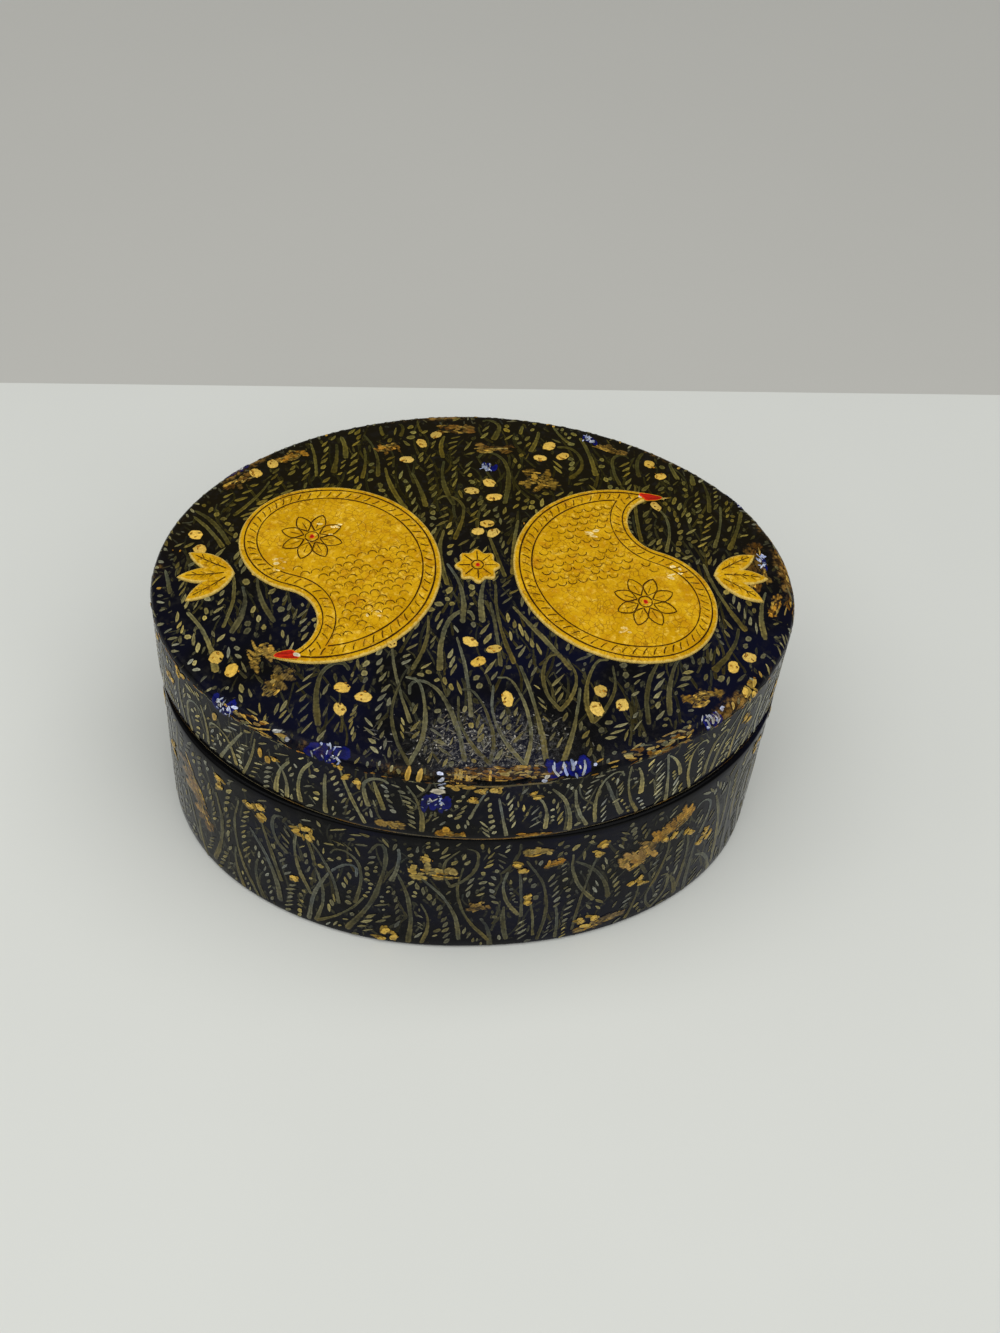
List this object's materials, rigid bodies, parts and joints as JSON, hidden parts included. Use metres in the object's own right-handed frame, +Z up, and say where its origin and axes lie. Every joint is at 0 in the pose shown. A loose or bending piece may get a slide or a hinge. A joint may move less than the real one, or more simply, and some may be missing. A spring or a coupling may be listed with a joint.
{
  "type": "oval lidded box",
  "caption": "Oval papier mache box with a domed lift-off lid that slips over a collar, black lacquer painted with fronds and raised gilt paisleys.",
  "frame": {"origin": "middle of the underside, on the surface that the box stands on", "axes": "+X along the oval's length, +Y along its width to the back, +Z up through the lid"},
  "size_m": [0.102, 0.078, 0.0508],
  "materials": {
    "painted_lacquer": "gloss",
    "black_lacquer": "gloss",
    "gilt_gesso": "satin"
  },
  "bodies": {
    "base": {"base_floor": "painted_lacquer", "base_wall": "painted_lacquer", "collar": "black_lacquer"},
    "lid": {"lid_wall": "painted_lacquer", "lid_top": "painted_lacquer", "gold_paisley_left": "gilt_gesso", "gold_paisley_right": "gilt_gesso", "gold_rosette": "gilt_gesso", "gold_leaves_left": "gilt_gesso", "gold_leaves_right": "gilt_gesso"}
  },
  "joints": [
    {"name": "lid_lift", "type": "slide", "parent": "base", "child": "lid", "axis": [0, 0, 1], "range_m": [0, 0.06]}
  ]
}
